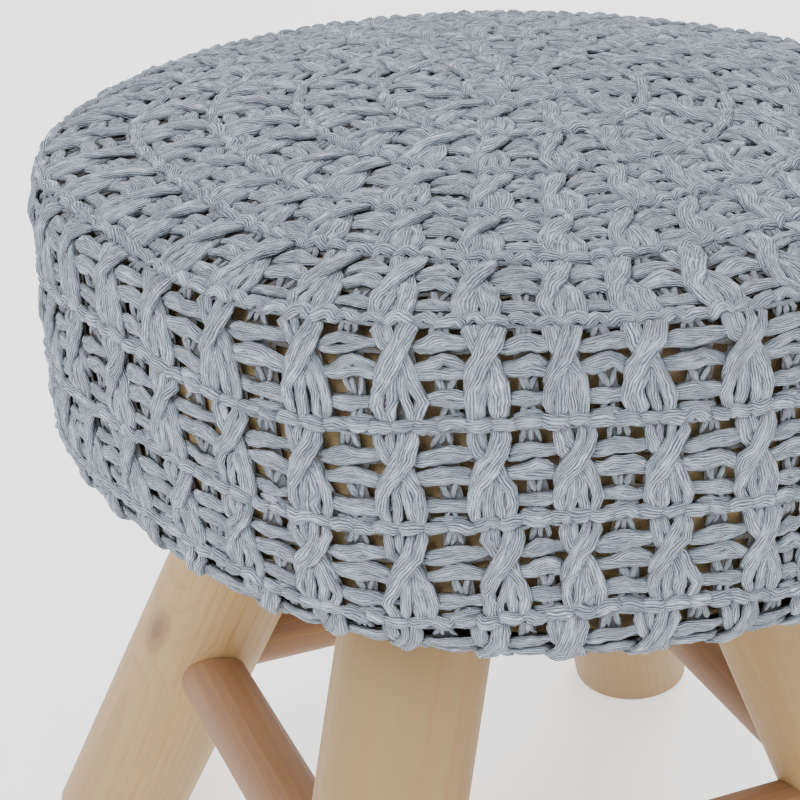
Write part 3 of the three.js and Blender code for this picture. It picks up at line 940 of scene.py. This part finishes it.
class STOOL_OT_under_knit(bpy.types.Operator):
    """Add the knit that turns under the seat to its lip"""

    bl_idname = "stool.under_knit"
    bl_label = "Under knit"

    LIP_COLUMNS = (-0.16, 0.0, 0.16, 0.42, 0.58)
    LIP_PATH = ((0.05, -3.6), (0.3, -2.6), (0.7, -2.6), (0.98, -3.4))
    LIP_YARN = {"width": 4.2, "thick": 2.4, "steps": 5}
    EDGE_YARN = {"width": 3.4, "thick": 3.0, "steps": 5, "stray": 0.3}

    def execute(self, context):
        sizes = context.scene.seat_sizes
        seat = Seat(sizes)
        yarns = Yarns(seed=21, unevenness=sizes.unevenness)
        ring = CellRing(seat, SIDE_CELLS, SIDE_BANDS)
        lay_cells(yarns, ring)
        lay_ridge(yarns, seat, ring)
        lip = lip_ring(seat)
        lay_ridge(yarns, seat, lip)
        for u in self.LIP_COLUMNS:
            yarns.lay(lip, [(u, v, lift) for v, lift in self.LIP_PATH], **self.LIP_YARN)
        edge = [(u, 0.97, -3.0) for u in np.linspace(-0.05, 1.05, 5)]
        yarns.lay(lip, edge, **self.EDGE_YARN)
        material = shared_material("knit_yarn", yarn_material)
        dress(yarns.piece("knit_under"), material, "yarn", "knit_cover")
        return {"FINISHED"}


class STOOL_OT_top_knit(bpy.types.Operator):
    """Add the rings of cells on the top and the gathered middle"""

    bl_idname = "stool.top_knit"
    bl_label = "Top knit"

    PIECES = {"knit_top_outer": (0,), "knit_top_middle": (1, 2), "knit_top_inner": (3, 4)}

    def execute(self, context):
        sizes = context.scene.seat_sizes
        seat = Seat(sizes)
        material = shared_material("knit_yarn", yarn_material)
        for seed, (name, rows) in enumerate(self.PIECES.items(), 31):
            yarns = Yarns(seed, sizes.unevenness)
            for row in rows:
                ring = CellRing(seat, **TOP_RINGS[row])
                lay_cells(yarns, ring)
                lay_ridge(yarns, seat, ring)
            if TOP_RINGS[rows[-1]] is TOP_RINGS[-1]:
                self.gather(yarns, seat)
            dress(yarns.piece(name), material, "yarn", "knit_cover")
        return {"FINISHED"}

    def gather(self, yarns, seat):
        """Draws the last stitches together in the middle."""
        last = TOP_RINGS[-1]
        band = seat.centre_band
        ring = CellRing(seat, last["cells"], last["band"], height=band - last["band"])
        for share, height in ((0.0, -2.2), (0.5, -2.8)):
            points = ((share, -0.05, -3.4), (share, 0.2, height), (share + 0.1, 0.55, height - 0.1),
                      (share + 0.3, 0.84, -3.2))
            yarns.lay(ring, points, width=4.4, thick=2.6, steps=6)


class STOOL_OT_cover_cloth(bpy.types.Operator):
    """Add the thin cloth of stitch backs, with its gaps, behind the yarns"""

    bl_idname = "stool.cover_cloth"
    bl_label = "Cover cloth"

    THICKNESS = 0.8 * MM

    def execute(self, context):
        seat = Seat(context.scene.seat_sizes)
        rings = [CellRing(seat, **row) for row in TOP_RINGS]
        rings += [CellRing(seat, SIDE_CELLS, band) for band in range(SIDE_BANDS + 1)]
        rings.append(lip_ring(seat))
        points, quads, count = [], [], 0
        for ring in rings:
            made, faces = self.grid(ring)
            points.append(made)
            quads.append(faces + count)
            count += len(made)
        piece = mesh_object("cover_cloth", np.concatenate(points), np.concatenate(quads))
        apply_modifier(piece, "SOLIDIFY", thickness=self.THICKNESS, offset=1.0)
        width, length, area = seat.cover_cut()
        material = cloth_material(context.scene.finishes)
        dress(piece, material, "yarn", "knit_cover")
        return {"FINISHED"}

    def grid(self, ring):
        """Points and open-meshed faces of one ring of cells."""
        edges = np.array([(0.0, *row["edges"]) for row in CLOTH_ROWS])
        v = np.array([row["v"] for row in CLOTH_ROWS])
        for i in GAP_COLUMNS:
            self.close(edges[:, i:i + 2].T, ring.closed)
        for i in range(1, len(v) - 1, 2):
            self.close(v[i:i + 2], ring.closed)
        rows, columns = edges.shape
        cell, column = np.divmod(np.arange(ring.cells * columns), columns)
        u = edges[:, column] + ring.random.normal(0, GAP_STRAY, (rows, len(column)))
        inner = (v * (1 - v) > 0)[:, None]
        v = v[:, None] + inner * ring.random.normal(0, GAP_STRAY, (rows, len(column)))
        points, _ = ring.place(cell, u, v, CLOTH_LIFT)
        at = np.arange(rows * len(column)).reshape(rows, len(column))
        after = np.roll(at, -1, axis=1)
        quads = np.stack([at[:-1], at[1:], after[1:], after[:-1]], -1)
        open_rows = np.array([row["open"] for row in CLOTH_ROWS[:-1]])
        open_here = open_rows[:, None] & np.isin(column, GAP_COLUMNS)
        return points.reshape(-1, 3), quads[~open_here]

    @staticmethod
    def close(pair, share):
        """Moves the two sides of gaps towards each other."""
        middle = (pair[0] + pair[1]) / 2
        pair += (middle - pair) * share


class STOOL_OT_board(bpy.types.Operator):
    """Add the round pine board under the pad"""

    bl_idname = "stool.board"
    bl_label = "Board"

    def execute(self, context):
        scene = context.scene
        middle = (BOARD_LOW + BOARD_HIGH) / 2
        deselect()
        bpy.ops.mesh.primitive_cylinder_add(
            vertices=BOARD_SIDES, radius=BOARD_HIGH.x, depth=BOARD_HIGH.z - BOARD_LOW.z, location=middle)
        piece = context.object
        piece.name = "board"
        bpy.ops.object.transform_apply(location=True, rotation=True, scale=True)
        for height in (BOARD_LOW.z, BOARD_HIGH.z):
            ease_edges(piece, height, scene.wood_sizes.edge)
        smooth(piece)
        turn = Matrix.Rotation(math.radians(90), 3, "Y")
        material = wood_material("board_pine", scene.finishes, scene.finishes.pine_light,
                                 Vector((0, 0, BOARD_LOW.z)), turn, pith=(-0.06, 0.02), seed=7.0)
        dress(piece, material, "pine", "seat_board")
        return {"FINISHED"}


class STOOL_OT_legs(bpy.types.Operator):
    """Add the four splayed round legs"""

    bl_idname = "stool.legs"
    bl_label = "Legs"

    def execute(self, context):
        wood = context.scene.wood_sizes
        colours = context.scene.finishes
        reach = 2 * wood.leg_radius
        for i, (name, degrees) in enumerate(zip(LEG_NAMES, LEG_ANGLES)):
            angle = math.radians(degrees)
            low, high = leg_axis(wood, angle, -reach), leg_axis(wood, angle, LEG_TOP + reach)
            piece = pole(name.replace("leg", "pine_leg"), low, high, wood.leg_radius, LEG_SIDES)
            cut_level(piece, LEG_TOP, keep_below=True)
            cut_level(piece, 0.0, keep_below=False)
            ease_edges(piece, 0.0, wood.edge)
            smooth(piece)
            across = Vector((math.cos(angle), math.sin(angle), 0))
            turn = pole_turn(high - low, across)
            start = leg_axis(wood, angle, 0.0)
            # The pine's colour darkened by this leg's painted shade
            light = [value * LEG_PAINTED_SHADES[i] for value in colours.pine_light]
            material = wood_material(
                f"pine_{name}", colours, light, start, turn, LEG_KNOTS[name], LEG_PITHS[i], seed=3.0 * i)
            dress(piece, material, "pine", name)
        return {"FINISHED"}


class STOOL_OT_rails(bpy.types.Operator):
    """Add the four rails between the legs"""

    bl_idname = "stool.rails"
    bl_label = "Rails"

    def execute(self, context):
        wood = context.scene.wood_sizes
        colours = context.scene.finishes
        for i, name in enumerate(RAIL_NAMES):
            angles = [math.radians(LEG_ANGLES[(i + j) % len(LEG_ANGLES)]) for j in range(2)]
            start, end = (leg_axis(wood, angle, wood.rail_height) for angle in angles)
            piece = pole(name.replace("rail", "pine_rail"), start, end, wood.rail_radius, RAIL_SIDES)
            for angle in angles:
                self.cope(piece, wood, angle)
            smooth(piece)
            turn = pole_turn(end - start, Vector((0, 0, 1)))
            # The rails take the darker, redder rail colour: painted shade over the pine
            material = wood_material(f"pine_{name}", colours, colours.rail, start, turn,
                                     pith=(0.012, 0.02), seed=20.0 + 3.0 * i)
            dress(piece, material, "rail_wood", name)
        return {"FINISHED"}

    def cope(self, piece, wood, angle):
        """Cuts a rail's end to sit against a leg."""
        reach = 3 * wood.rail_radius
        ends = [leg_axis(wood, angle, wood.rail_height + step) for step in (-reach, reach)]
        cutter = pole("cutter", *ends, wood.leg_radius + SEAT_GAP, LEG_SIDES)
        apply_modifier(piece, "BOOLEAN", operation="DIFFERENCE", object=cutter, solver="EXACT")
        bpy.data.objects.remove(cutter)


class STOOL_OT_studio(bpy.types.Operator):
    """Add the pale floor, the soft lights and the camera"""

    bl_idname = "stool.studio"
    bl_label = "Studio"

    LAMPS = (
        {"name": "key", "place": (-1.1, -1.7, 2.1), "size": 1.2, "power": 62},
        {"name": "fill", "place": (1.7, -1.2, 1.2), "size": 1.8, "power": 14},
        {"name": "back", "place": (0.4, 1.8, 1.7), "size": 1.6, "power": 36},
    )
    AIM = (0, 0, 0.3)
    FLOOR_SIZE = 30
    SKY_STRENGTH = 1.25

    def execute(self, context):
        scene = context.scene
        deselect()
        bpy.ops.mesh.primitive_plane_add(size=self.FLOOR_SIZE, location=(0, 0, 0))
        floor = context.object
        floor.name = "floor"
        clothe(floor, floor_material(scene.finishes))
        for lamp in self.LAMPS:
            self.light(scene, lamp)
        self.sky(scene)
        self.camera(scene)
        return {"FINISHED"}

    def light(self, scene, lamp):
        data = bpy.data.lights.new(lamp["name"], "AREA")
        data.size = lamp["size"]
        data.energy = lamp["power"]
        item = bpy.data.objects.new(lamp["name"], data)
        item.location = lamp["place"]
        item.rotation_euler = (Vector(self.AIM) - item.location).to_track_quat("-Z", "Y").to_euler()
        scene.collection.objects.link(item)

    def sky(self, scene):
        world = bpy.data.worlds.new("studio")
        world.use_nodes = True
        background = world.node_tree.nodes["Background"]
        background.inputs["Color"].default_value = (1, 1, 1, 1)
        background.inputs["Strength"].default_value = self.SKY_STRENGTH
        scene.world = world

    def camera(self, scene):
        data = bpy.data.cameras.new("camera")
        data.lens = CAMERA_LENS
        camera = bpy.data.objects.new("camera", data)
        place = Vector(CAMERA_PLACE)
        look = (Vector(CAMERA_AIM) - place).to_track_quat("-Z", "Y")
        camera.rotation_euler = (look @ Quaternion((0, 0, 1), CAMERA_ROLL)).to_euler()
        camera.location = place
        scene.collection.objects.link(camera)
        scene.camera = camera


def shared_material(name, make):
    """The material of that name, made the first time that it is asked for."""
    return bpy.data.materials.get(name) or make(bpy.context.scene.finishes)


class STOOL_PT_panel(bpy.types.Panel):
    """Lists the stool's sizes, finishes and pieces"""

    bl_idname = "STOOL_PT_panel"
    bl_label = "Footstool"
    bl_space_type = "VIEW_3D"
    bl_region_type = "UI"
    bl_category = "Footstool"

    def draw(self, context):
        for group in (context.scene.seat_sizes, context.scene.wood_sizes, context.scene.finishes):
            box = self.layout.box()
            for key in group.__annotations__:
                box.prop(group, key)
        for operator in OPERATORS:
            self.layout.operator(operator.bl_idname)


GROUPS = {"seat_sizes": SeatSizes, "wood_sizes": WoodSizes, "finishes": Finishes}
OPERATORS = (
    STOOL_OT_casing, STOOL_OT_side_knit, STOOL_OT_under_knit, STOOL_OT_top_knit,
    STOOL_OT_cover_cloth, STOOL_OT_board, STOOL_OT_legs, STOOL_OT_rails, STOOL_OT_studio)


def register():
    for item in (*GROUPS.values(), *OPERATORS, STOOL_PT_panel):
        bpy.utils.register_class(item)
    for name, group in GROUPS.items():
        setattr(bpy.types.Scene, name, bpy.props.PointerProperty(type=group))


def unregister():
    for name in GROUPS:
        delattr(bpy.types.Scene, name)
    for item in (STOOL_PT_panel, *reversed(OPERATORS), *GROUPS.values()):
        bpy.utils.unregister_class(item)


def main():
    register()
    bpy.ops.stool.studio()
    bpy.ops.stool.casing()
    bpy.ops.stool.side_knit()
    bpy.ops.stool.under_knit()
    bpy.ops.stool.top_knit()
    bpy.ops.stool.cover_cloth()
    bpy.ops.stool.board()
    bpy.ops.stool.legs()
    bpy.ops.stool.rails()


if __name__ == "__main__":
    main()
